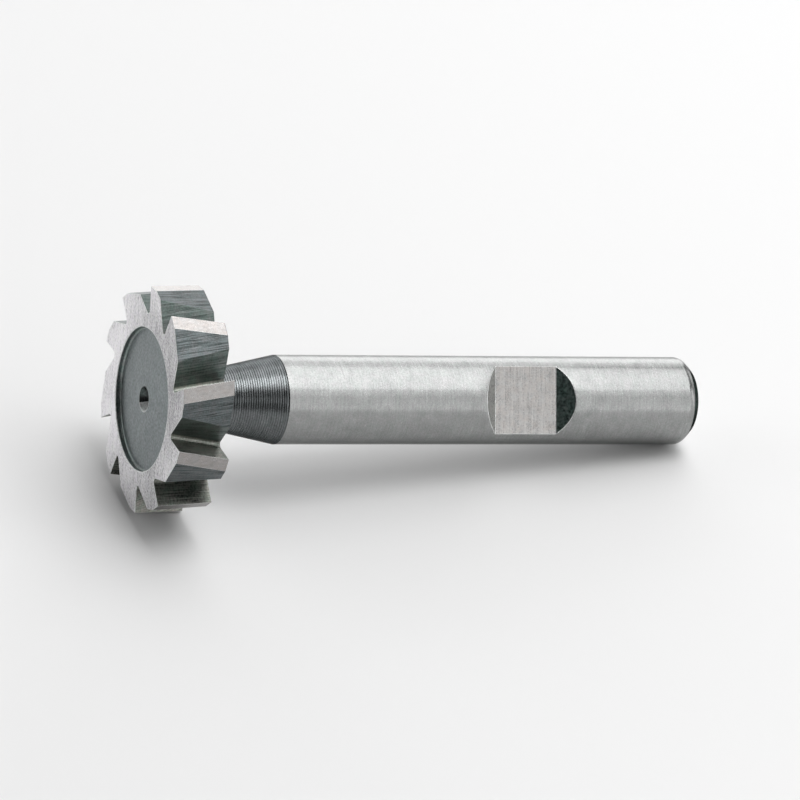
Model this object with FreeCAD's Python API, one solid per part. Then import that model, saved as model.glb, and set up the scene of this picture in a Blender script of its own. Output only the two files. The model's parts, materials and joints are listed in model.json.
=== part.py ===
import FreeCAD, Part
import math
import os

# Slotting cutter with staggered teeth, turned, milled and ground from one piece of steel.
# It is drawn along its own axis: front face at X = 0, shank end at +X, clamping flat
# towards -Y. At the end it is laid down as it comes to rest, on two teeth and the shank end.

# Driving dimensions, in millimetres and degrees
overall_length = 66.6
head_diameter = 25.5
head_width = 6.05
shank_diameter = 10.0
shank_end_chamfer = 1.1

tooth_count = 10
tooth_slant = 9.3
rake_angle = 1.5
gullet_depth = 3.45
gullet_back_angle = 58.5
gullet_root_radius = 0.4
land_width = 1.62
land_relief_angle = 9.0
heel_relief_angle = 28.5
flat_to_tooth_angle = 7.2

recess_diameter = 16.0
recess_depth = 0.66
recess_floor_rise = 0.34
recess_corner_radius = 0.25

centre_hole_mouth = 2.8
centre_hole_pilot = 1.4
centre_hole_depth = 3.2
centre_hole_taper = 60.0
drill_point_angle = 118.0

neck_root_diameter = 5.9
neck_end_from_front = 15.7
neck_root_fillet = 1.2

flat_length = 7.5
flat_depth = 1.75
flat_to_shank_end = 21.4
flat_wall_angle = 45.0

# How far the cutting shapes reach past the faces and past the outside of the blank
side_overrun = 1.0
outer_overrun = 4.5

# Sizes that follow from the driving dimensions
head_radius = head_diameter / 2
shank_radius = shank_diameter / 2
recess_radius = recess_diameter / 2
mouth_radius = centre_hole_mouth / 2
pilot_radius = centre_hole_pilot / 2
pitch_angle = 360.0 / tooth_count
half_run = head_width / 2 * math.tan(math.radians(tooth_slant))
tip_height = math.sqrt(head_radius ** 2 - half_run ** 2)
flat_height = shank_radius - flat_depth
flat_middle = overall_length - flat_to_shank_end
flat_wall_run = flat_depth / math.tan(math.radians(flat_wall_angle))
flat_start = flat_middle - flat_length / 2 - flat_wall_run


def axial_point(x, radius):
    """A point of the turned profile."""
    return FreeCAD.Vector(x, 0.0, radius)


def line(start, end):
    return Part.LineSegment(start, end).toShape()


def rounded_corner(before, corner, after, radius):
    """The two tangent points and the arc that round one corner of an outline."""
    to_before = (before - corner).normalize()
    to_after = (after - corner).normalize()
    half_angle = to_before.getAngle(to_after) / 2
    setback = radius / math.tan(half_angle)
    bisector = (to_before + to_after).normalize()
    start = corner + to_before * setback
    end = corner + to_after * setback
    middle = corner + bisector * (radius / math.sin(half_angle) - radius)
    return start, end, Part.Arc(start, middle, end).toShape()


def outline(points, radii):
    """A closed face through the points, with corner number n rounded by radii[n]."""
    count = len(points)
    arrivals = list(points)
    departures = list(points)
    arcs = [None] * count
    for n, radius in radii.items():
        before = points[n - 1]
        after = points[(n + 1) % count]
        arrivals[n], departures[n], arcs[n] = rounded_corner(before, points[n], after, radius)
    edges = []
    for n in range(count):
        if arcs[n] is not None:
            edges.append(arcs[n])
        edges.append(line(departures[n], arrivals[(n + 1) % count]))
    return Part.Face(Part.Wire(edges))


# Turned blank: head, neck cone, shank, face recesses and the two centre holes. It is drawn in
# two stretches that meet where the flat begins, and these are fused into one solid below
def centre_hole(face_x, inward):
    """Profile points of a centre hole from the mouth to the axis; inward is +1 or -1."""
    half_taper = math.radians(centre_hole_taper / 2)
    half_point = math.radians(drill_point_angle / 2)
    cone_depth = (mouth_radius - pilot_radius) / math.tan(half_taper)
    tip_depth = centre_hole_depth + pilot_radius / math.tan(half_point)
    return [
        axial_point(face_x, mouth_radius),
        axial_point(face_x + inward * cone_depth, pilot_radius),
        axial_point(face_x + inward * centre_hole_depth, pilot_radius),
        axial_point(face_x + inward * tip_depth, 0.0),
    ]


front_hole = centre_hole(recess_depth - recess_floor_rise, 1)
rear_hole = centre_hole(overall_length, -1)
neck_slope = (shank_radius - neck_root_diameter / 2) / (neck_end_from_front - head_width)
back_floor = head_width - recess_depth
neck_at_floor = neck_root_diameter / 2 - neck_slope * recess_depth

front_profile = [
    front_hole[3],
    front_hole[2],
    front_hole[1],
    front_hole[0],
    axial_point(recess_depth, recess_radius),
    axial_point(0.0, recess_radius),
    axial_point(0.0, head_radius),
    axial_point(head_width, head_radius),
    axial_point(head_width, recess_radius),
    axial_point(back_floor, recess_radius),
    axial_point(back_floor, neck_at_floor),
    axial_point(neck_end_from_front, shank_radius),
    axial_point(flat_start, shank_radius),
    axial_point(flat_start, 0.0),
]
rear_profile = [
    axial_point(flat_start, 0.0),
    axial_point(flat_start, shank_radius),
    axial_point(overall_length - shank_end_chamfer, shank_radius),
    axial_point(overall_length, shank_radius - shank_end_chamfer),
    rear_hole[0],
    rear_hole[1],
    rear_hole[2],
    rear_hole[3],
]
front_radii = {4: recess_corner_radius, 9: recess_corner_radius, 10: neck_root_fillet}


def turned(points, radii):
    """A solid of revolution about the axis."""
    return outline(points, radii).revolve(
        FreeCAD.Vector(0, 0, 0), FreeCAD.Vector(1, 0, 0), 360)


# Teeth: each tooth leans to one side and its neighbours to the other
def tooth_angle(number):
    """Angle of a tooth at mid width, anticlockwise from the flat as seen from the front."""
    return flat_to_tooth_angle + number * pitch_angle


def slant_side(number):
    """+1 for a tooth whose angle grows from front to back, -1 for its neighbours."""
    return 1 if number % 2 == 0 else -1


def slanted_prism(number, points, radii):
    """Runs an outline, given as (tangential, radial) pairs, along the slant of one tooth."""
    angle = math.radians(tooth_angle(number))
    radial = FreeCAD.Vector(0, -math.cos(angle), math.sin(angle))
    tangential = FreeCAD.Vector(0, math.sin(angle), math.cos(angle))
    lean = slant_side(number) * math.tan(math.radians(tooth_slant))
    length = head_width + 2 * side_overrun
    start = FreeCAD.Vector(-side_overrun, 0, 0) - tangential * (lean * length / 2)
    placed = []
    for across, out in points:
        placed.append(start + tangential * across + radial * out)
    return outline(placed, radii).extrude(FreeCAD.Vector(length, 0, 0) + tangential * (lean * length))


rake = math.radians(rake_angle)
root = (-gullet_depth * math.tan(rake), tip_height - gullet_depth)
land_drop = land_width * math.tan(math.radians(land_relief_angle))


def along_rake(height):
    """A point of the rake face line at a radial height above the root of the gullet."""
    return root[0] + height * math.tan(rake), root[1] + height


def gullet(number):
    """The V groove in front of a tooth: its rake face, a rounded root and a sloping back."""
    reach = gullet_depth + outer_overrun
    back_run = reach * math.tan(math.radians(gullet_back_angle))
    top = along_rake(reach)
    points = [root, (root[0] + back_run, root[1] + reach), top]
    return slanted_prism(number, points, {0: gullet_root_radius})


def room_before_rake(number):
    """All the space in front of a rake face, so that no other cut reaches the tooth itself."""
    low = along_rake(-gullet_depth)
    high = along_rake(gullet_depth + outer_overrun)
    points = [low, (low[0] + head_radius, low[1]), (high[0] + head_radius, high[1]), high]
    return slanted_prism(number, points, {})


def clearance(number):
    """What is ground away behind the cutting edge: the land and then the steeper heel."""
    heel_run = land_width + outer_overrun
    heel_drop = heel_run * math.tan(math.radians(heel_relief_angle))
    rise_ahead = side_overrun * math.tan(math.radians(land_relief_angle))
    top = tip_height + outer_overrun
    points = [
        (side_overrun, tip_height + rise_ahead),
        (-land_width, tip_height - land_drop),
        (-land_width - heel_run, tip_height - land_drop - heel_drop),
        (-land_width - heel_run, top),
        (side_overrun, top),
    ]
    return slanted_prism(number, points, {})


front_stretch = turned(front_profile, front_radii)
for tooth in range(tooth_count):
    behind_next = clearance(tooth + 1).common(room_before_rake(tooth))
    front_stretch = front_stretch.cut(gullet(tooth)).cut(behind_next)

# Clamping flat with sloping end walls
flat_top = shank_radius + side_overrun
wall_run = (flat_top - flat_height) / math.tan(math.radians(flat_wall_angle))
flat_outline = [
    FreeCAD.Vector(flat_middle - flat_length / 2, -flat_height, -shank_radius),
    FreeCAD.Vector(flat_middle + flat_length / 2, -flat_height, -shank_radius),
    FreeCAD.Vector(flat_middle + flat_length / 2 + wall_run, -flat_top, -shank_radius),
    FreeCAD.Vector(flat_middle - flat_length / 2 - wall_run, -flat_top, -shank_radius),
]
flat_cut = outline(flat_outline, {}).extrude(FreeCAD.Vector(0, 0, shank_diameter))
rear_stretch = turned(rear_profile, {}).cut(flat_cut)
cutter = front_stretch.removeSplitter().fuse(rear_stretch)

# Resting place: at the back of the head the tip of one tooth and the heel of the land of
# the next touch the floor, and so does the rim of the shank end
def back_corner(number, across, out):
    """A corner of a tooth on the back face, seen along the axis."""
    angle = math.radians(tooth_angle(number))
    shifted = across + slant_side(number) * half_run
    y = shifted * math.sin(angle) - out * math.cos(angle)
    z = shifted * math.cos(angle) + out * math.sin(angle)
    return FreeCAD.Vector(0, y, z)


lower_tooth = 6
tip_corner = back_corner(lower_tooth, 0.0, tip_height)
heel_corner = back_corner(lower_tooth + 1, -land_width, tip_height - land_drop)
down = (heel_corner - tip_corner).cross(FreeCAD.Vector(1, 0, 0)).normalize()
if down.dot(tip_corner) < 0:
    down = down * -1
rest_run = overall_length - shank_end_chamfer - head_width
rest_tilt = math.degrees(math.atan((down.dot(tip_corner) - shank_radius) / rest_run))
roll = FreeCAD.Rotation(down, FreeCAD.Vector(0, 0, -1))
tilt = FreeCAD.Rotation(FreeCAD.Vector(0, 1, 0), rest_tilt)
cutter.Placement = FreeCAD.Placement(FreeCAD.Vector(0, 0, 0), tilt.multiply(roll))
box = cutter.optimalBoundingBox(False, False)
cutter.translate(FreeCAD.Vector(-box.Center.x, -box.Center.y, -box.ZMin))

os.makedirs("parts", exist_ok=True)
cutter.exportStep("parts/slotting_cutter.step")
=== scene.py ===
import json
import math

import bmesh
import bpy
import numpy as np
from mathutils import Matrix, Vector


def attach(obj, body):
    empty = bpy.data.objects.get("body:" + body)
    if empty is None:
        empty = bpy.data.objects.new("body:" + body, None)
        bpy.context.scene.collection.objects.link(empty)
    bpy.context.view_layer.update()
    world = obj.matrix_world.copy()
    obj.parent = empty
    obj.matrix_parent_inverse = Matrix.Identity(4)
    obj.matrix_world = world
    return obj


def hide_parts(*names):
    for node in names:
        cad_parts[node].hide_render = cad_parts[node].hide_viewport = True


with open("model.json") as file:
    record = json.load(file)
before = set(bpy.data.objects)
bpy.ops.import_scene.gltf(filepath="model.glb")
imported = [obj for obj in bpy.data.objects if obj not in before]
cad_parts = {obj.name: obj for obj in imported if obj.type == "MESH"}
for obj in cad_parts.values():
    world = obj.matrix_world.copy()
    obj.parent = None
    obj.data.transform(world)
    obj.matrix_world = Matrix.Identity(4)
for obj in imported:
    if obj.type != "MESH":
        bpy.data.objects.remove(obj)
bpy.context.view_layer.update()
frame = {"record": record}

# Sizes of the cutter in millimetres and degrees, the same as in the solid. It is built along its
# own axis: front face at x = 0, shank end at +x, clamping flat towards -y.
OVERALL_LENGTH = 66.6
HEAD_RADIUS = 12.75
HEAD_WIDTH = 6.05
SHANK_RADIUS = 5.0
SHANK_CHAMFER = 1.1

TOOTH_COUNT = 10
TOOTH_SLANT = math.radians(9.3)
RAKE = math.radians(1.5)
GULLET_DEPTH = 3.45
GULLET_BACK = math.radians(58.5)
GULLET_ROOT_RADIUS = 0.4
LAND_WIDTH = 1.62
LAND_RELIEF = math.radians(9.0)
HEEL_RELIEF = math.radians(28.5)
FIRST_TOOTH = math.radians(7.2)
PITCH = 2 * math.pi / TOOTH_COUNT

RECESS_RADIUS = 8.0
RECESS_DEPTH = 0.66
RECESS_FLOOR_RISE = 0.34
RECESS_CORNER = 0.25

HOLE_MOUTH = 1.4
HOLE_PILOT = 0.7
HOLE_DEPTH = 3.2
HOLE_HALF_TAPER = math.radians(30.0)
DRILL_HALF_POINT = math.radians(59.0)

NECK_ROOT_RADIUS = 2.95
NECK_END = 15.7
NECK_FILLET = 1.2

FLAT_LENGTH = 7.5
FLAT_DEPTH = 1.75
FLAT_MIDDLE = OVERALL_LENGTH - 21.4
FLAT_HEIGHT = SHANK_RADIUS - FLAT_DEPTH

# Edge breaks and turning marks that only the visible mesh has, in millimetres. An edge is how
# far the rounding of a corner reaches, and the end mark is half the width of a painted highlight
# line
FACE_EDGE = 0.06
CUTTING_EDGE = 0.012
HEEL_EDGE = 0.05
RIM_EDGE = 0.1
FLAT_EDGE = 0.09
FLAT_UPPER_EDGE = 0.02
FLAT_END_MARK = 0.05
FLAT_INNER_CORNER = 0.06
SHANK_END_ROUNDING = 1.1
CHAMFER_INNER_EDGE = 0.15
HOLE_MOUTH_EDGE = 0.04
HOLE_PILOT_EDGE = 0.02
SMALLEST_ROUNDING = 0.003
GROOVE_PITCH = 0.263
GROOVE_DEPTH = 0.0125
LAST_GROOVE_DEPTH = 0.04
MM = 0.001

# Mesh density: the gap between a corner and the extra points that keep its shading crisp, the
# greatest share of a short side that this gap may take, the longest run without a point on a
# profile, in millimetres, and the steps in an arc and the rows along the head
SUPPORT = 0.03
WIDEST_SUPPORT_SHARE = 0.2
LONGEST_RUN = 0.6
ARC_STEPS = 6
BACK_ARC_STEPS = 8
HEAD_ROWS = 26
TINY = 1e-6

TIP_HEIGHT = math.sqrt(HEAD_RADIUS ** 2 - (HEAD_WIDTH / 2 * math.tan(TOOTH_SLANT)) ** 2)

# Surface zones, in the order of the material slots
ZONES = ["shank", "neck", "shaded_groove_flank", "face", "land", "heel", "gullet", "rake", "recess",
         "recess_wall", "flat", "front_wall", "shaded_rear_wall", "chamfer", "end_face", "hole",
         "lit_worn_hole", "edge"]


# Placement of the axis frame in the part's frame, read from the two mounts
mounts = {mount["name"]: mount for mount in frame["record"]["mounts"]}
axis = Vector(mounts["shank"]["axis"]).normalized()
flat_side = Vector(mounts["clamping_flat"]["axis"])
local_y = -(flat_side - axis * flat_side.dot(axis)).normalized()
local_z = axis.cross(local_y)
mount_middle = (NECK_END + OVERALL_LENGTH - SHANK_CHAMFER) / 2
front_centre = Vector(mounts["shank"]["pos_m"]) - axis * mount_middle * MM
axis_turn = Matrix((axis, local_y, local_z)).transposed().to_4x4()
placement = Matrix.Translation(front_centre) @ axis_turn


# Outlines in a plane
def unit(vector):
    return vector / np.linalg.norm(vector)


def corner_arc(before, corner, after, radius, steps):
    """Points of the arc that rounds a corner, from its first to its last tangent point."""
    back = unit(before - corner)
    ahead = unit(after - corner)
    half = math.acos(max(-1.0, min(1.0, float(back @ ahead)))) / 2
    setback = radius / math.tan(half)
    centre = corner + unit(back + ahead) * radius / math.sin(half)
    first = corner + back * setback - centre
    last = corner + ahead * setback - centre
    sweep = math.pi - 2 * half
    points = []
    for step in range(steps + 1):
        t = step / steps
        mix = math.sin((1 - t) * sweep) * first + math.sin(t * sweep) * last
        points.append(centre + mix / math.sin(sweep))
    return points


def stretch(start, end, count):
    """Points strictly between two ends, the first and last of them close to the ends."""
    length = np.linalg.norm(end - start)
    near = min(SUPPORT / length, WIDEST_SUPPORT_SHARE)
    shares = np.linspace(near, 1 - near, count)
    return [start + (end - start) * share for share in shares]


class Skin:
    """Rings of points round the axis, joined by faces that each know their zone."""

    def __init__(self):
        self.points = []
        self.marks = []
        self.faces = []
        self.zones = []

    def ring(self, points, marks=None):
        """Adds a closed ring and returns the indices of its points."""
        start = len(self.points)
        self.points.extend(tuple(point) for point in points)
        self.marks.extend(marks if marks is not None else [(0.0, 0.0, 0.0)] * len(points))
        return list(range(start, len(self.points)))

    def join(self, first, second, zones):
        """Quads between two rings of the same count; zones is one name or one for each quad."""
        count = len(first)
        for n in range(count):
            m = (n + 1) % count
            self.faces.append((first[n], first[m], second[m], second[n]))
            self.zones.append(zones if isinstance(zones, str) else zones[n])

    def close(self, ring, tip, zone):
        """Triangles from a ring to one point on the axis."""
        self.points.append(tip)
        self.marks.append((0.0, 0.0, 0.0))
        last = len(self.points) - 1
        for n in range(len(ring)):
            self.faces.append((ring[n], ring[(n + 1) % len(ring)], last))
            self.zones.append(zone)


# Columns of the turned surfaces: angles from the flat's direction in degrees, closer at the
# flat's long edges
FLAT_HALF_ANGLE = math.degrees(math.acos(FLAT_HEIGHT / SHANK_RADIUS))
COLUMN_COUNT = 168
EDGE_OFFSETS = [-1.6, -1.0, -0.5, 0.0, 0.5, 1.0, 1.6]
EDGE_CLEARANCE = EDGE_OFFSETS[-1] + 0.4


def column_angles():
    """The columns' angles in radians."""
    even = [n * 360.0 / COLUMN_COUNT - 180.0 for n in range(COLUMN_COUNT)]
    edges = [side * FLAT_HALF_ANGLE for side in (-1, 1)]
    kept = [a for a in even if all(abs(a - edge) > EDGE_CLEARANCE for edge in edges)]
    near = [edge + offset for edge in edges for offset in EDGE_OFFSETS]
    return np.radians(sorted(kept + near))


COLUMNS = column_angles()


def turned_ring(x, radius):
    """Points of a circle round the axis."""
    return [(x, -radius * math.cos(a), radius * math.sin(a)) for a in COLUMNS]


def profile_points(corners, radii, steps):
    """A turned profile with corner n rounded by radii[n]."""
    corners = [np.array(corner, float) for corner in corners]
    points = [corners[0]]
    for n in range(1, len(corners) - 1):
        if n in radii:
            points.extend(corner_arc(corners[n - 1], corners[n], corners[n + 1], radii[n], steps))
        else:
            points.append(corners[n])
    points.append(corners[-1])
    return points


def with_supports(points):
    """The same profile with extra points beside each corner and along the long runs."""
    result = [points[0]]
    for start, end in zip(points, points[1:]):
        length = np.linalg.norm(end - start)
        if length > 4 * SUPPORT:
            result.extend(stretch(start, end, max(2, math.ceil(length / LONGEST_RUN))))
        result.append(end)
    return result


# The head: one ring of the toothed outline for each station along the axis
def tooth_frame(number):
    """Unit vectors across the axis: ahead of a tooth, the way it cuts, and outward through it."""
    angle = FIRST_TOOTH + number * PITCH
    ahead = np.array([math.sin(angle), math.cos(angle)])
    outward = np.array([-math.cos(angle), math.sin(angle)])
    return ahead, outward


def side_line(number, x, point, normal, inset):
    """A side of a tooth as (normal, distance from the axis), moved into the steel by inset."""
    ahead, outward = tooth_frame(number)
    lean = 1 if number % 2 == 0 else -1
    shift = lean * math.tan(TOOTH_SLANT) * (x - HEAD_WIDTH / 2)
    place = ahead * (point[0] + shift) + outward * point[1]
    direction = ahead * normal[0] + outward * normal[1]
    return direction, float(direction @ place) - inset


def crossing(first, second):
    """The point where two side lines cross."""
    matrix = np.array([first[0], second[0]])
    return np.linalg.solve(matrix, np.array([first[1], second[1]]))


ROOT = (-GULLET_DEPTH * math.tan(RAKE), TIP_HEIGHT - GULLET_DEPTH)
LAND_END = (-LAND_WIDTH, TIP_HEIGHT - LAND_WIDTH * math.tan(LAND_RELIEF))
# A point on each side of a tooth and the side's outward normal, as (ahead, outward) pairs
SIDES = {
    "land": ((0.0, TIP_HEIGHT), (-math.sin(LAND_RELIEF), math.cos(LAND_RELIEF))),
    "rake": ((0.0, TIP_HEIGHT), (math.cos(RAKE), -math.sin(RAKE))),
    "gullet": (ROOT, (-math.cos(GULLET_BACK), math.sin(GULLET_BACK))),
    "heel": (LAND_END, (-math.sin(HEEL_RELIEF), math.cos(HEEL_RELIEF))),
}
# Going ahead from each tooth: the sides in their order, how each is divided, and the corner at
# which each starts. A negative radius rounds a hollow corner
SIDE_ORDER = ["land", "rake", "gullet", "heel"]
SIDE_STEPS = {"land": 5, "rake": 9, "gullet": 12, "heel": 9}
CORNER_STEPS = {"rake": 2, "gullet": 5, "heel": 2, "land": 2}
CORNER_RADIUS = {
    "rake": CUTTING_EDGE,
    "gullet": -GULLET_ROOT_RADIUS,
    "heel": HEEL_EDGE,
    "land": HEEL_EDGE,
}
# The cutting edge and the heel's corner take the edge zone, a painted highlight line, and the
# gullet's root takes the lighter rake steel as a painted highlight
CORNER_ZONE = {"rake": "edge", "gullet": "rake", "heel": "gullet", "land": "edge"}


def section(x, inset):
    """Points of the toothed outline at a station, and the zone between each two of them."""
    lines = []
    for number in range(TOOTH_COUNT):
        for side in SIDE_ORDER:
            owner = number + 1 if side == "heel" else number
            point, normal = SIDES[side]
            lines.append((side, side_line(owner, x, point, normal, inset)))
    count = len(lines)
    corners = [crossing(lines[n - 1][1], lines[n][1]) for n in range(count)]
    points = []
    zones = []
    for n in range(count):
        side = lines[n][0]
        radius = CORNER_RADIUS[side]
        if radius > 0:
            radius = max(radius - inset, SMALLEST_ROUNDING)
        else:
            radius = inset - radius
        before = corners[n - 1]
        after = corners[(n + 1) % count]
        arc = corner_arc(before, corners[n], after, radius, CORNER_STEPS[side])
        if points:
            run = stretch(points[-1], arc[0], SIDE_STEPS[lines[n - 1][0]])
            zones.extend([lines[n - 1][0]] * (len(run) + 1))
            points.extend(run)
        points.extend(arc)
        zones.extend([CORNER_ZONE[side]] * CORNER_STEPS[side])
    run = stretch(points[-1], points[0], SIDE_STEPS[lines[-1][0]])
    points.extend(run)
    zones.extend([lines[-1][0]] * (len(run) + 1))
    return points, zones


def section_ring(skin, x, inset):
    """Adds the ring of a station. Its marks give the way round and the way along, in mm."""
    points, zones = section(x, inset)
    steps = [np.linalg.norm(b - a) for a, b in zip(points, points[1:])]
    around = np.concatenate([[0.0], np.cumsum(steps)])
    marks = [(float(distance), x, 0.0) for distance in around]
    ring = skin.ring([(x, point[0], point[1]) for point in points], marks)
    return ring, zones


def fill_face(skin, outer, inner, zone):
    """Triangles of the flat face between two rings that lie in one plane."""
    bm = bmesh.new()
    made = {}
    for ring in (outer, inner):
        verts = [bm.verts.new(skin.points[index]) for index in ring]
        for index, vert in zip(ring, verts):
            made[vert] = index
        for n, vert in enumerate(verts):
            bm.edges.new((vert, verts[(n + 1) % len(verts)]))
    bmesh.ops.triangle_fill(bm, use_beauty=True, use_dissolve=False, edges=bm.edges[:])
    for face in bm.faces:
        skin.faces.append(tuple(made[vert] for vert in face.verts))
        skin.zones.append(zone)
    bm.free()


def head_stations():
    """(x, inset) from the front face to the back face, with both faces' edges rounded."""
    edge = [(0.0, FACE_EDGE + SUPPORT), (0.0, FACE_EDGE)]
    for step in (1, 2):
        turn = step * math.pi / 4
        edge.append((FACE_EDGE * (1 - math.cos(turn)), FACE_EDGE * (1 - math.sin(turn))))
    inner = np.linspace(FACE_EDGE + SUPPORT, HEAD_WIDTH - FACE_EDGE - SUPPORT, HEAD_ROWS)
    middle = [(float(x), 0.0) for x in inner]
    return edge + middle + [(HEAD_WIDTH - x, inset) for x, inset in reversed(edge)]


def build_head(skin):
    """The toothed rim. Returns its outermost flat rings on the front and on the back."""
    rings = []
    for x, inset in head_stations():
        rings.append(section_ring(skin, x, inset))
    last = len(rings) - 2
    # The rows of the rounded face edges take the edge zone, a painted highlight line
    for number, ((first, zones), (second, _)) in enumerate(zip(rings, rings[1:])):
        if number in (0, last):
            zones = "face"
        elif number in (1, 2):
            zones = "edge"
        skin.join(first, second, zones)
    return rings[0][0], rings[-1][0]


# Recess and centre hole of the front face
def hole_profile(face_x, inward):
    """Corners of a centre hole from its mouth to its bottom; inward is +1 or -1."""
    cone = (HOLE_MOUTH - HOLE_PILOT) / math.tan(HOLE_HALF_TAPER)
    tip = HOLE_DEPTH + HOLE_PILOT / math.tan(DRILL_HALF_POINT)
    return [
        (face_x, HOLE_MOUTH),
        (face_x + inward * cone, HOLE_PILOT),
        (face_x + inward * HOLE_DEPTH, HOLE_PILOT),
        (face_x + inward * tip, 0.0),
    ]


def add_profile(skin, previous, profile, zone):
    """Joins a ring for each profile point to the previous ring and returns the last ring."""
    for x, radius in profile:
        ring = skin.ring(turned_ring(x, radius))
        skin.join(previous, ring, zone)
        previous = ring
    return previous


# Where one zone ends on a profile and the next begins, in millimetres
RIM_END = RIM_EDGE * 1.01
RECESS_FLOOR_RADIUS = RECESS_RADIUS - RECESS_CORNER * 0.8
HOLE_START_RADIUS = HOLE_MOUTH + 0.03
CHAMFER_START_RADIUS = SHANK_RADIUS - 0.28
# Below this height, as a share of its radius, the front hole's wall takes near-white steel: partly
# wear and partly painted light on the wall that faces up
LIT_WEAR_HEIGHT = -0.25


def first_where(profile, test):
    """Number of the first profile point whose x and radius pass a test."""
    return next(n for n, (x, radius) in enumerate(profile) if test(x, radius))


def build_front(skin):
    """Everything inside the front ring. Returns the flat ring that the front face meets."""
    mouth, pilot, bottom, tip = hole_profile(RECESS_DEPTH - RECESS_FLOOR_RISE, 1)
    rim = skin.ring(turned_ring(0.0, RECESS_RADIUS + RIM_EDGE + SUPPORT))
    corners = [
        (0.0, RECESS_RADIUS + 1.0),
        (0.0, RECESS_RADIUS),
        (RECESS_DEPTH, RECESS_RADIUS),
        mouth,
        pilot,
        bottom,
    ]
    radii = {1: RIM_EDGE, 2: RECESS_CORNER, 3: HOLE_MOUTH_EDGE, 4: HOLE_PILOT_EDGE}
    profile = with_supports(profile_points(corners, radii, ARC_STEPS)[1:])
    rim_end = first_where(profile, lambda x, radius: x > RIM_END)
    floor_start = first_where(profile, lambda x, radius: radius < RECESS_FLOOR_RADIUS)
    hole_start = first_where(profile, lambda x, radius: radius < HOLE_START_RADIUS)
    # The rim's rounding takes the edge zone, a painted highlight line
    ring = add_profile(skin, rim, profile[:rim_end], "edge")
    ring = add_profile(skin, ring, profile[rim_end:floor_start], "recess_wall")
    ring = add_profile(skin, ring, profile[floor_start:hole_start], "recess")
    # The lower wall of the front hole is painted near white: painted light together with wear
    lit_and_worn = ["lit_worn_hole" if math.sin(angle) < LIT_WEAR_HEIGHT else "hole" for angle in COLUMNS]
    ring = add_profile(skin, ring, profile[hole_start:], lit_and_worn)
    skin.close(ring, (tip[0], 0.0, 0.0), "hole")
    return rim


# Back recess, neck and shank
SCATTER_STEP = 12.9898
SCATTER_RANGE = 43758.5453
SHALLOWEST_GROOVE = 0.75
GROOVE_SPREAD = 0.5


def groove_depth(number, count):
    """Depth of a turning groove. It varies a little, and the last one is the deepest."""
    if number == count - 1:
        return LAST_GROOVE_DEPTH
    scatter = math.sin(number * SCATTER_STEP) * SCATTER_RANGE
    share = SHALLOWEST_GROOVE + GROOVE_SPREAD * (scatter - math.floor(scatter))
    return GROOVE_DEPTH * share


# Points across one groove, as shares of its width. The rear flank of each groove takes darker
# steel, painted shade in the groove
GROOVE_SHARES = [0.0, 0.1, 0.3, 0.5, 0.7, 0.9]
FIRST_SHADED_SHARE = 0.7


def neck_profile(start, end):
    """The cone of the neck, cut with fine turning grooves between its ends."""
    length = float(np.linalg.norm(end - start))
    along = (end - start) / length
    inward = np.array([along[1], -along[0]])
    count = int(length / GROOVE_PITCH)
    points = []
    for number in range(count):
        for share in GROOVE_SHARES:
            sink = groove_depth(number, count) * (1 - (2 * share - 1) ** 2)
            distance = (number + share) * length / count
            points.append(start + along * distance + inward * sink)
    points.append(end)
    return points


def build_back(skin):
    """Back recess and neck. Returns the flat ring at the back face and the last neck ring."""
    slope = (SHANK_RADIUS - NECK_ROOT_RADIUS) / (NECK_END - HEAD_WIDTH)
    floor_x = HEAD_WIDTH - RECESS_DEPTH
    rim = skin.ring(turned_ring(HEAD_WIDTH, RECESS_RADIUS + RIM_EDGE + SUPPORT))
    corners = [
        (HEAD_WIDTH, RECESS_RADIUS + 1.0),
        (HEAD_WIDTH, RECESS_RADIUS),
        (floor_x, RECESS_RADIUS),
        (floor_x, NECK_ROOT_RADIUS - slope * RECESS_DEPTH),
        (NECK_END, SHANK_RADIUS),
    ]
    radii = {1: RIM_EDGE, 2: RECESS_CORNER, 3: NECK_FILLET}
    rounded = profile_points(corners, radii, BACK_ARC_STEPS)
    neck_start = rounded[-2]
    profile = with_supports(rounded[1:-1])
    rim_end = first_where(profile, lambda x, radius: x < HEAD_WIDTH - RIM_END)
    floor_start = first_where(profile, lambda x, radius: radius < RECESS_FLOOR_RADIUS)
    # The rim's rounding takes the edge zone, a painted highlight line
    ring = add_profile(skin, rim, profile[:rim_end], "edge")
    ring = add_profile(skin, ring, profile[rim_end:floor_start], "recess_wall")
    ring = add_profile(skin, ring, profile[floor_start:], "recess")
    neck = neck_profile(neck_start, np.array(corners[-1]))
    # The rear flank of each groove takes a darker copy of the neck's steel: painted shade
    for number, point in enumerate(neck[1:]):
        shaded_flank = GROOVE_SHARES[number % len(GROOVE_SHARES)] >= FIRST_SHADED_SHARE
        ring = add_profile(skin, ring, [point], "shaded_groove_flank" if shaded_flank else "neck")
    return rim, ring


def smooth_min(a, b, width):
    """The smaller of two values, with a rounded change from one to the other."""
    near = max(width - abs(a - b), 0.0) / width
    return min(a, b) - near * near * width / 4


def cut_height(x):
    """Height above the axis of the flat and its sloping end walls, at a station."""
    half = FLAT_LENGTH / 2
    wall = FLAT_HEIGHT + abs(x - FLAT_MIDDLE) - half
    return -smooth_min(-FLAT_HEIGHT, -wall, FLAT_INNER_CORNER)


# Rows of the shank, as shares of the stretch that each group divides
FRONT_SHARES = [0.0, 0.002, 0.01, 0.05, 0.2, 0.4, 0.6, 0.8, 0.95]
WALL_SHARES = [0.33, 0.67]
FLAT_SHARES = [0.2, 0.4, 0.6, 0.8]
REAR_SHARES = [0.05, 0.2, 0.4, 0.6, 0.8, 1.0]
EDGE_ROWS = [-FLAT_EDGE, -FLAT_EDGE / 2, 0.0, FLAT_EDGE / 2, FLAT_EDGE]


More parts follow.
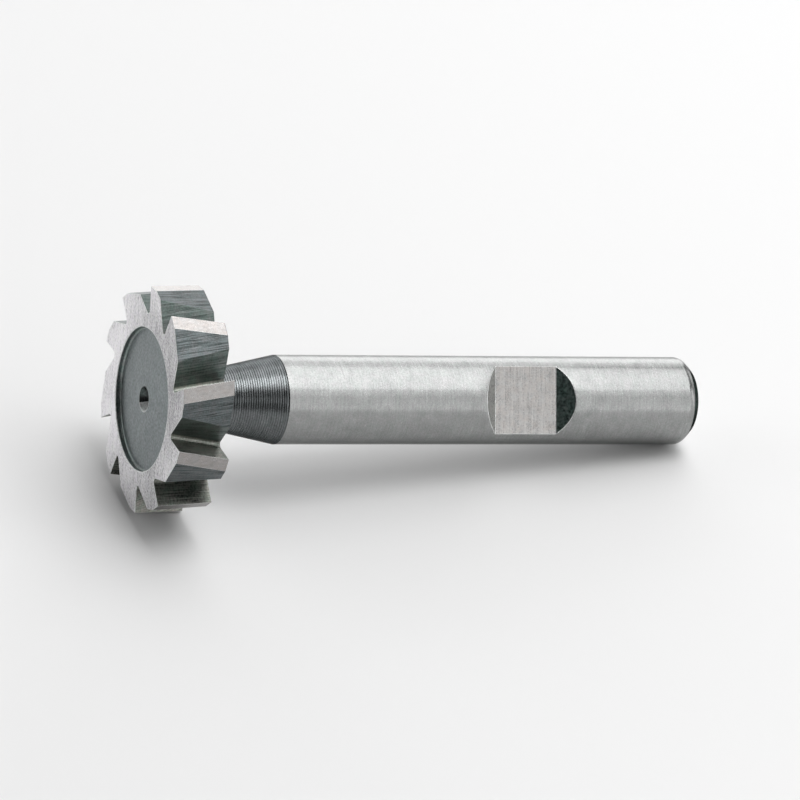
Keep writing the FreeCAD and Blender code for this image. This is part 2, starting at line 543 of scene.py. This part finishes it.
def shank_rows():
    """For each row: a function from the flat wall's reach at a column to the row's x."""
    rows = []
    start = NECK_END
    end = OVERALL_LENGTH - SHANK_CHAMFER - SHANK_END_ROUNDING
    left = FLAT_MIDDLE - FLAT_LENGTH / 2
    right = FLAT_MIDDLE + FLAT_LENGTH / 2
    for share in FRONT_SHARES:
        rows.append(lambda reach, s=share: start + s * (left - reach - 2 * FLAT_EDGE - start))
    for offset in EDGE_ROWS:
        rows.append(lambda reach, o=offset: left - reach + o)
    for share in WALL_SHARES:
        rows.append(lambda reach, s=share: left - reach + FLAT_EDGE + s * (reach - 2 * FLAT_EDGE))
    for offset in EDGE_ROWS:
        rows.append(lambda reach, o=offset: left + o)
    for share in FLAT_SHARES:
        rows.append(lambda reach, s=share: left + s * FLAT_LENGTH)
    for offset in EDGE_ROWS:
        rows.append(lambda reach, o=offset: right + o)
    for share in WALL_SHARES:
        rows.append(lambda reach, s=share: right + FLAT_EDGE + s * (reach - 2 * FLAT_EDGE))
    for offset in EDGE_ROWS:
        rows.append(lambda reach, o=offset: right + reach + o)
    for share in REAR_SHARES:
        rows.append(lambda reach, s=share: right + reach + 2 * FLAT_EDGE
                    + s * (end - right - reach - 2 * FLAT_EDGE))
    return rows


def shank_zone(x, angle):
    """Zone of the shank's surface at a place."""
    above = SHANK_RADIUS * math.cos(angle) - cut_height(x)
    past_end = abs(x - FLAT_MIDDLE) - FLAT_LENGTH / 2
    if abs(angle) > math.pi / 2:
        return "shank"
    # Thin edge-zone bands along the flat's rounded edges and at its inner corners are painted
    # highlight lines
    if abs(above) < FLAT_EDGE / 2 and (past_end > 0 or angle < 0):
        return "edge"
    if above < 0:
        return "shank"
    if abs(past_end) < FLAT_END_MARK:
        return "edge"
    if past_end < 0:
        return "flat"
    # The rear end wall takes a darker copy of the wall steel: painted shade
    return "front_wall" if x < FLAT_MIDDLE else "shaded_rear_wall"


LEAST_REACH = 3 * FLAT_EDGE


def build_shank(skin, previous):
    """The ground shank with its flat, joined to the last ring of the neck."""
    places = []
    for row in shank_rows():
        points = []
        place = []
        for angle in COLUMNS:
            circle = SHANK_RADIUS * math.cos(angle)
            reach = max(circle - FLAT_HEIGHT, LEAST_REACH)
            x = row(reach)
            height = circle
            if abs(angle) < math.pi / 2:
                beside_flat = abs(x - FLAT_MIDDLE) < FLAT_LENGTH / 2
                rounding = FLAT_UPPER_EDGE if beside_flat and angle > 0 else FLAT_EDGE
                height = smooth_min(circle, cut_height(x), rounding)
            points.append((x, -height, SHANK_RADIUS * math.sin(angle)))
            place.append(x)
        if not places:
            ring = previous
        else:
            ring = skin.ring(points)
            zones = []
            for n in range(len(COLUMNS)):
                m = (n + 1) % len(COLUMNS)
                middle_x = (place[n] + place[m] + places[-1][n] + places[-1][m]) / 4
                middle_angle = (COLUMNS[n] + COLUMNS[m]) / 2 if m else math.pi
                zones.append(shank_zone(middle_x, middle_angle))
            skin.join(previous, ring, zones)
        places.append(place)
        previous = ring
    return previous


def build_shank_end(skin, previous):
    """End chamfer, end face and rear centre hole."""
    mouth, pilot, bottom, tip = hole_profile(OVERALL_LENGTH, -1)
    corners = [
        (OVERALL_LENGTH - SHANK_CHAMFER - SHANK_END_ROUNDING, SHANK_RADIUS),
        (OVERALL_LENGTH - SHANK_CHAMFER, SHANK_RADIUS),
        (OVERALL_LENGTH, SHANK_RADIUS - SHANK_CHAMFER),
        mouth,
        pilot,
        bottom,
    ]
    radii = {1: SHANK_END_ROUNDING, 2: CHAMFER_INNER_EDGE, 3: HOLE_MOUTH_EDGE, 4: HOLE_PILOT_EDGE}
    profile = with_supports(profile_points(corners, radii, ARC_STEPS))[1:]
    chamfer_start = first_where(profile, lambda x, radius: radius < CHAMFER_START_RADIUS)
    face_start = first_where(profile, lambda x, radius: x > OVERALL_LENGTH - TINY)
    hole_start = first_where(profile, lambda x, radius: radius < HOLE_START_RADIUS)
    ring = add_profile(skin, previous, profile[:chamfer_start], "shank")
    ring = add_profile(skin, ring, profile[chamfer_start:face_start], "chamfer")
    ring = add_profile(skin, ring, profile[face_start:hole_start], "end_face")
    ring = add_profile(skin, ring, profile[hole_start:], "hole")
    skin.close(ring, (tip[0], 0.0, 0.0), "hole")


def build_cutter(materials):
    """The whole cutter as one closed mesh."""
    skin = Skin()
    head_front, head_back = build_head(skin)
    fill_face(skin, head_front, build_front(skin), "face")
    back_rim, neck_ring = build_back(skin)
    fill_face(skin, head_back, back_rim, "face")
    build_shank_end(skin, build_shank(skin, neck_ring))
    mesh = bpy.data.meshes.new("cutter_body")
    mesh.from_pydata([tuple(c * MM for c in point) for point in skin.points], [], skin.faces)
    marks = mesh.attributes.new("tooth_marks", "FLOAT_VECTOR", "POINT")
    marks.data.foreach_set("vector", np.array(skin.marks, np.float32).ravel())
    for zone in ZONES:
        mesh.materials.append(materials[zone])
    mesh.polygons.foreach_set("material_index", [ZONES.index(zone) for zone in skin.zones])
    mesh.polygons.foreach_set("use_smooth", [True] * len(mesh.polygons))
    bm = bmesh.new()
    bm.from_mesh(mesh)
    bmesh.ops.recalc_face_normals(bm, faces=bm.faces[:])
    bm.to_mesh(mesh)
    bm.free()
    mesh.transform(placement)
    mesh.update()
    piece = bpy.data.objects.new("cutter_body", mesh)
    bpy.context.scene.collection.objects.link(piece)
    return piece


# Materials. Each one is steel whose colour, roughness and fine relief follow stretched noise,
# so that the marks run the way that the surface was turned, milled or ground
def node(tree, kind, inputs, **settings):
    """Adds a node; each input is given as a value or as the socket that it is linked to."""
    made = tree.nodes.new(kind)
    for name, value in settings.items():
        setattr(made, name, value)
    for name, value in inputs.items():
        if isinstance(value, bpy.types.NodeSocket):
            tree.links.new(value, made.inputs[name])
        else:
            made.inputs[name].default_value = value
    return made


def axis_place(tree):
    """Place in the axis frame, in millimetres."""
    coordinates = node(tree, "ShaderNodeTexCoord", {})
    inputs = {
        "Vector": coordinates.outputs["Object"],
        "Location": front_centre,
        "Rotation": placement.to_euler(),
        "Scale": (MM, MM, MM),
    }
    return node(tree, "ShaderNodeMapping", inputs, vector_type="TEXTURE").outputs["Vector"]


def tooth_place(tree):
    """Place on a tooth's side: the way round the outline and the way along the axis, in mm."""
    return node(tree, "ShaderNodeAttribute", {}, attribute_name="tooth_marks").outputs["Vector"]


def grain(tree, place, per_mm, detail, distortion, turn=0.0, shift=(0.0, 0.0, 0.0)):
    """Noise that changes per_mm times in a millimetre, given for each direction. The
    directions can be turned about the first one, and the noise shifted, in millimetres."""
    inputs = {
        "Vector": place,
        "Location": shift,
        "Rotation": (turn, 0.0, 0.0),
        "Scale": tuple(1 / times for times in per_mm),
    }
    scaled = node(tree, "ShaderNodeMapping", inputs, vector_type="TEXTURE")
    inputs = {
        "Vector": scaled.outputs["Vector"],
        "Scale": 1.0,
        "Detail": detail,
        "Distortion": distortion,
    }
    return node(tree, "ShaderNodeTexNoise", inputs).outputs[0]


MIDDLE_SHADE = 0.5


def blend(tree, grains):
    """Weighted sum of (noise, weight) pairs, spread round the middle shade."""
    total = MIDDLE_SHADE
    for noise, weight in grains:
        inputs = {0: noise, 1: weight, 2: total}
        share = node(tree, "ShaderNodeMath", inputs, operation="MULTIPLY_ADD")
        total = node(tree, "ShaderNodeMath", {0: share.outputs[0], 1: weight / 2},
                     operation="SUBTRACT").outputs[0]
    return total


def spread(tree, value, low, high):
    """Maps a value from 0..1 to low..high, held between them."""
    inputs = {"Value": value, "To Min": low, "To Max": high}
    return node(tree, "ShaderNodeMapRange", inputs).outputs["Result"]


# Sockets of the colour mix node
MIX_FACTOR = 0
MIX_FIRST = 6
MIX_SECOND = 7
MIX_RESULT = 2
# Detail of the noises, and how far the noise of the tinge is spread to make spots
STREAK_DETAIL = 3.0
CLOUD_DETAIL = 2.0
SPECK_DETAIL = 1.0
SPOT_DISTORTION = 0.5
SPOT_SPREAD = (-0.9, 1.9)


def steel(name, look):
    """A steel surface. The look gives its colours, roughness, marks and relief."""
    material = bpy.data.materials.new(name)
    material.use_nodes = True
    tree = material.node_tree
    shader = tree.nodes["Principled BSDF"]
    place = tooth_place(tree) if look["on_tooth"] else axis_place(tree)
    streak_turn, speck_turn = look["turns"]
    streaks = grain(tree, place, look["streaks"], STREAK_DETAIL, look["waviness"], streak_turn)
    clouds = grain(tree, place, look["clouds"], CLOUD_DETAIL, 0.0, shift=look["cloud_shift"])
    specks = grain(tree, place, look["specks"], SPECK_DETAIL, 0.0, speck_turn)
    shade = blend(tree, zip((streaks, clouds, specks), look["weights"]))
    metal = node(tree, "ShaderNodeMix", {}, data_type="RGBA")
    tree.links.new(shade, metal.inputs[MIX_FACTOR])
    metal.inputs[MIX_FIRST].default_value = (*look["dark"], 1.0)
    metal.inputs[MIX_SECOND].default_value = (*look["light"], 1.0)
    tinge = node(tree, "ShaderNodeMix", {}, data_type="RGBA", blend_type="MULTIPLY")
    spots = grain(tree, place, look["tinge_spots"], SPECK_DETAIL, SPOT_DISTORTION)
    tree.links.new(spread(tree, spots, *SPOT_SPREAD), tinge.inputs[MIX_FACTOR])
    tree.links.new(metal.outputs[MIX_RESULT], tinge.inputs[MIX_FIRST])
    tinge.inputs[MIX_SECOND].default_value = (*look["tinge"], 1.0)
    tree.links.new(tinge.outputs[MIX_RESULT], shader.inputs["Base Color"])
    shader.inputs["Metallic"].default_value = 1.0
    shader.inputs["Specular Tint"].default_value = (*[look["grazing"]] * 3, 1.0)
    tree.links.new(spread(tree, shade, *look["roughness"]), shader.inputs["Roughness"])
    inputs = {"Strength": 1.0, "Distance": look["relief"], "Height": shade}
    bump = node(tree, "ShaderNodeBump", inputs)
    tree.links.new(bump.outputs["Normal"], shader.inputs["Normal"])
    return material


# Marks a millimetre in each direction, for surfaces that are turned, faced and milled
AROUND = (7.0, 0.45, 0.45)
ACROSS_FACE = (0.5, 4.0, 0.5)
ALONG_TOOTH = (6.5, 0.24, 1.0)
# Tinges that the colours are multiplied by in spots
GREEN = (0.86, 1.0, 0.95)
PALE_GREEN = (0.965, 1.0, 0.98)
TEAL = (0.9, 0.985, 0.975)
WARM = (1.0, 0.965, 0.945)
LILAC = (0.985, 0.965, 1.0)


def finish(dark, light, tinge, roughness, streaks, weights, relief, on_tooth=False,
           waviness=0.0, clouds=(0.7, 0.7, 0.7), specks=(5.0, 5.0, 5.0),
           tinge_spots=(1.2, 1.2, 1.2), turns=(0.0, 0.0), cloud_shift=(0.0, 0.0, 0.0),
           grazing=1.0):
    """Gathers one zone's look. Streaks, clouds, specks and tinge_spots are marks a millimetre
    in each direction. Weights are for streaks, clouds and specks. Relief and cloud_shift are
    in millimetres, and turns are in radians, for streaks and specks. Grazing is the share of
    the gloss that is left at a flat angle."""
    return {
        "dark": dark, "light": light, "tinge": tinge, "roughness": roughness,
        "streaks": streaks, "weights": weights, "relief": relief * MM, "on_tooth": on_tooth,
        "waviness": waviness, "clouds": clouds, "specks": specks, "tinge_spots": tinge_spots,
        "turns": turns, "cloud_shift": cloud_shift, "grazing": grazing,
    }


FINISHES = {
    "shank": finish((0.228, 0.229, 0.229), (0.38, 0.38, 0.379), PALE_GREEN, (0.2, 0.28),
                    AROUND, (1.0, 0.8, 1.0), 0.002, grazing=0.72),
    "neck": finish((0.07, 0.075, 0.077), (0.205, 0.213, 0.221), PALE_GREEN, (0.2, 0.3),
                   (9.0, 0.6, 0.6), (1.1, 0.5, 0.7), 0.002, grazing=0.4),
    # Darker copy of the neck's steel for the grooves' rear flanks: painted shade
    "shaded_groove_flank": finish((0.04, 0.044, 0.044), (0.12, 0.127, 0.129), PALE_GREEN, (0.25, 0.35),
                           (9.0, 0.6, 0.6), (1.1, 0.5, 0.7), 0.002, grazing=0.4),
    # The face's large clouds are shifted so that their light part, near white, lies on the upper
    # left: a painted reflection there, on top of random tone
    "face": finish((0.29, 0.29, 0.295), (0.86, 0.855, 0.86), LILAC, (0.24, 0.36),
                   (0.6, 6.5, 0.4), (2.0, 2.6, 1.7), 0.003, clouds=(0.06, 0.06, 0.06),
                   specks=(2.8, 6.2, 2.8), turns=(0.25, -0.7), cloud_shift=(0.0, 3.0, 17.0)),
    "land": finish((0.235, 0.23, 0.226), (0.385, 0.374, 0.368), WARM, (0.2, 0.3),
                   (3.5, 1.5, 1.0), (1.1, 0.7, 0.7), 0.002, on_tooth=True, grazing=0.82,
                   specks=(7.0, 7.0, 7.0)),
    "heel": finish((0.045, 0.051, 0.0505), (0.168, 0.176, 0.182), TEAL, (0.28, 0.42),
                   ALONG_TOOTH, (2.7, 0.6, 0.8), 0.01, on_tooth=True, waviness=0.7),
    "gullet": finish((0.04, 0.047, 0.045), (0.18, 0.196, 0.19), GREEN, (0.28, 0.42),
                     ALONG_TOOTH, (2.0, 0.6, 0.7), 0.01, on_tooth=True, waviness=0.4),
    "rake": finish((0.05, 0.05, 0.047), (0.34, 0.325, 0.3), GREEN, (0.34, 0.48),
                   ALONG_TOOTH, (2.0, 2.2, 1.0), 0.01, on_tooth=True, waviness=0.8,
                   clouds=(0.15, 0.15, 0.15), specks=(3.0, 5.0, 3.0),
                   cloud_shift=(63.0, -4.0, 2.0)),
    "recess": finish((0.15, 0.166, 0.172), (0.32, 0.346, 0.355), PALE_GREEN, (0.42, 0.52),
                     (3.0, 3.0, 3.0), (0.5, 0.6, 1.6), 0.006, specks=(3.6, 3.6, 3.6)),
    "recess_wall": finish((0.12, 0.13, 0.129), (0.36, 0.38, 0.378), GREEN, (0.3, 0.45),
                          (4.0, 1.5, 1.5), (0.8, 0.6, 1.0), 0.006),
    "flat": finish((0.25, 0.252, 0.252), (0.47, 0.462, 0.453), WARM, (0.24, 0.34),
                   (5.0, 0.25, 0.25), (1.4, 0.7, 1.1), 0.004),
    "front_wall": finish((0.22, 0.223, 0.22), (0.48, 0.48, 0.47), PALE_GREEN, (0.26, 0.36),
                         (5.0, 5.0, 1.5), (1.2, 0.8, 1.8), 0.004),
    # Darker, greener copy of the front wall's steel: painted shade on the flat's rear end wall
    "shaded_rear_wall": finish((0.05, 0.072, 0.068), (0.24, 0.29, 0.277), GREEN, (0.26, 0.36),
                        (5.0, 5.0, 1.5), (0.8, 0.5, 2.2), 0.006, specks=(3.0, 3.0, 3.0)),
    "chamfer": finish((0.12, 0.13, 0.128), (0.22, 0.235, 0.23), GREEN, (0.25, 0.35),
                      AROUND, (0.8, 0.5, 0.5), 0.003, grazing=0.05),
    "end_face": finish((0.28, 0.28, 0.28), (0.42, 0.42, 0.415), LILAC, (0.28, 0.38),
                       ACROSS_FACE, (0.8, 0.6, 0.6), 0.004),
    "hole": finish((0.015, 0.017, 0.017), (0.12, 0.127, 0.127), GREEN, (0.28, 0.4),
                   (4.0, 1.0, 1.0), (1.0, 1.0, 1.2), 0.006),
    # Near-white steel of the front hole's lower wall: painted light, partly wear
    "lit_worn_hole": finish((0.5, 0.51, 0.51), (0.96, 0.97, 0.97), PALE_GREEN, (0.5, 0.75),
                        (2.0, 2.0, 2.0), (1.0, 1.0, 1.6), 0.006),
    # The edge zone's near-white steel paints highlight lines along the rounded edges
    "edge": finish((0.5, 0.5, 0.5), (0.95, 0.95, 0.95), PALE_GREEN, (0.45, 0.6),
                   (3.0, 3.0, 3.0), (1.0, 0.6, 1.0), 0.002),
}

materials = {zone: steel(zone, FINISHES[zone]) for zone in ZONES}

cutter = build_cutter(materials)
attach(cutter, "root")
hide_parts("slotting_cutter")


# Floor, light and camera, in metres
FLOOR_COLOUR = (0.82, 0.82, 0.82, 1.0)
FLOOR_RADIUS = 4.0
FLOOR_SIDES = 96


def build_floor():
    """A plain pale matt disc under the cutter."""
    material = bpy.data.materials.new("pale_floor")
    material.use_nodes = True
    shader = material.node_tree.nodes["Principled BSDF"]
    shader.inputs["Base Color"].default_value = FLOOR_COLOUR
    shader.inputs["Roughness"].default_value = 0.9
    shader.inputs["Specular IOR Level"].default_value = 0.1
    bm = bmesh.new()
    bmesh.ops.create_circle(bm, cap_ends=True, radius=FLOOR_RADIUS, segments=FLOOR_SIDES)
    mesh = bpy.data.meshes.new("floor")
    bm.to_mesh(mesh)
    bm.free()
    mesh.materials.append(material)
    floor = bpy.data.objects.new("floor", mesh)
    bpy.context.scene.collection.objects.link(floor)


def add_softbox(name, place, aim, size, radiance):
    """A rectangular lamp at a place, turned towards a point; size is (width, height)."""
    data = bpy.data.lights.new(name, "AREA")
    data.shape = "RECTANGLE"
    data.size, data.size_y = size
    data.energy = radiance * math.pi * size[0] * size[1]
    lamp = bpy.data.objects.new(name, data)
    bpy.context.scene.collection.objects.link(lamp)
    lamp.location = place
    lamp.rotation_mode = "QUATERNION"
    lamp.rotation_quaternion = (Vector(aim) - Vector(place)).to_track_quat("-Z", "Y")


# Strength of the room's light from the horizon up to a height, and the share of it that is left
# towards the photographer's side, by nearness to that direction
HORIZON_TO_TOP = {"From Min": 0.0, "From Max": 0.8, "To Min": 0.5, "To Max": 0.08}
PHOTOGRAPHER_SIDE = (-0.44, -0.76, 0.47)
SHARE_LEFT = {"From Min": 0.45, "From Max": 0.92, "To Min": 1.0, "To Max": 0.22}


def build_world():
    """A dim room, lightest low down and darkest where the photographer stands."""
    world = bpy.data.worlds.new("studio")
    world.use_nodes = True
    tree = world.node_tree
    coordinates = node(tree, "ShaderNodeTexCoord", {}).outputs["Generated"]
    height = node(tree, "ShaderNodeSeparateXYZ", {"Vector": coordinates}).outputs["Z"]
    inputs = {0: coordinates, 1: Vector(PHOTOGRAPHER_SIDE).normalized()}
    nearness = node(tree, "ShaderNodeVectorMath", inputs, operation="DOT_PRODUCT").outputs["Value"]
    inputs = {"Value": nearness, **SHARE_LEFT}
    shade = node(tree, "ShaderNodeMapRange", inputs).outputs["Result"]
    inputs = {"Value": height, **HORIZON_TO_TOP}
    glow = node(tree, "ShaderNodeMapRange", inputs).outputs["Result"]
    strength = node(tree, "ShaderNodeMath", {0: shade, 1: glow}, operation="MULTIPLY")
    background = tree.nodes["Background"]
    background.inputs["Color"].default_value = (1.0, 1.0, 1.0, 1.0)
    tree.links.new(strength.outputs[0], background.inputs["Strength"])
    bpy.context.scene.world = world


# Name, place, aim, size and radiance of each lamp
ORIGIN = (0.0, 0.0, 0.0)
SOFTBOXES = [
    ("top_softbox", (0.36, 0.065, 0.8), (0.36, 0.065, 0.0), (0.62, 1.13), 2.6),
    ("neck_strip", (0.1, -0.12, 0.79), (0.1, -0.12, 0.0), (0.2, 0.36), 5.2),
    ("upper_back_softbox", (0.41, 0.8, 0.75), (0.41, 0.0, 0.75), (0.62, 0.6), 1.6),
    ("lower_back_softbox", (0.26, 0.8, 0.225), (0.26, 0.0, 0.225), (0.82, 0.43), 2.5),
    ("upper_side_softbox", (0.412, -0.527, 0.602), ORIGIN, (0.4, 0.25), 1.55),
    ("side_softbox", (0.44, -0.74, 0.263), ORIGIN, (0.56, 0.52), 1.08),
    ("front_softbox", (0.06, -0.8, 0.48), ORIGIN, (0.32, 0.32), 0.5),
    ("end_softbox", (0.86, -0.3, 0.26), ORIGIN, (0.4, 0.5), 1.6),
    ("far_end_softbox", (0.84, 0.34, 0.32), ORIGIN, (0.4, 0.45), 1.2),
    ("left_softbox", (-0.8, 0.42, 0.42), ORIGIN, (0.8, 0.6), 1.1),
]

build_floor()
for softbox in SOFTBOXES:
    add_softbox(*softbox)
build_world()

# Camera of the photograph, fitted to its outlines, in the axis frame and in millimetres. The
# clip distances are in metres
VIEW_ANGLE = math.radians(66.433)
VIEW_ROLL = math.radians(0.17)
VIEW_DISTANCE = 695.48
FOCAL_PIXELS = 6300.9
LOOK_RIGHT = 28.555
LOOK_UP = -0.095
IMAGE_PIXELS = 800
SENSOR = 36.0
CLIP_START = 0.01
CLIP_END = 20.0


def build_camera():
    """The camera at the photograph's viewing angle."""
    back = Vector((-math.cos(VIEW_ANGLE), -math.sin(VIEW_ANGLE), 0.0))
    level_right = Vector((math.sin(VIEW_ANGLE), -math.cos(VIEW_ANGLE), 0.0))
    level_up = Vector((0.0, 0.0, 1.0))
    right = math.cos(VIEW_ROLL) * level_right + math.sin(VIEW_ROLL) * level_up
    up = math.cos(VIEW_ROLL) * level_up - math.sin(VIEW_ROLL) * level_right
    place = (VIEW_DISTANCE * back + LOOK_RIGHT * right + LOOK_UP * up) * MM
    data = bpy.data.cameras.new("photo_camera")
    data.sensor_width = SENSOR
    data.lens = FOCAL_PIXELS / IMAGE_PIXELS * SENSOR
    data.clip_start = CLIP_START
    data.clip_end = CLIP_END
    camera = bpy.data.objects.new("photo_camera", data)
    bpy.context.scene.collection.objects.link(camera)
    turn = Matrix((right, up, back)).transposed().to_4x4()
    camera.matrix_world = placement @ Matrix.Translation(place) @ turn
    bpy.context.scene.camera = camera


build_camera()
bpy.context.scene.view_settings.view_transform = "Standard"

bpy.context.view_layer.update()
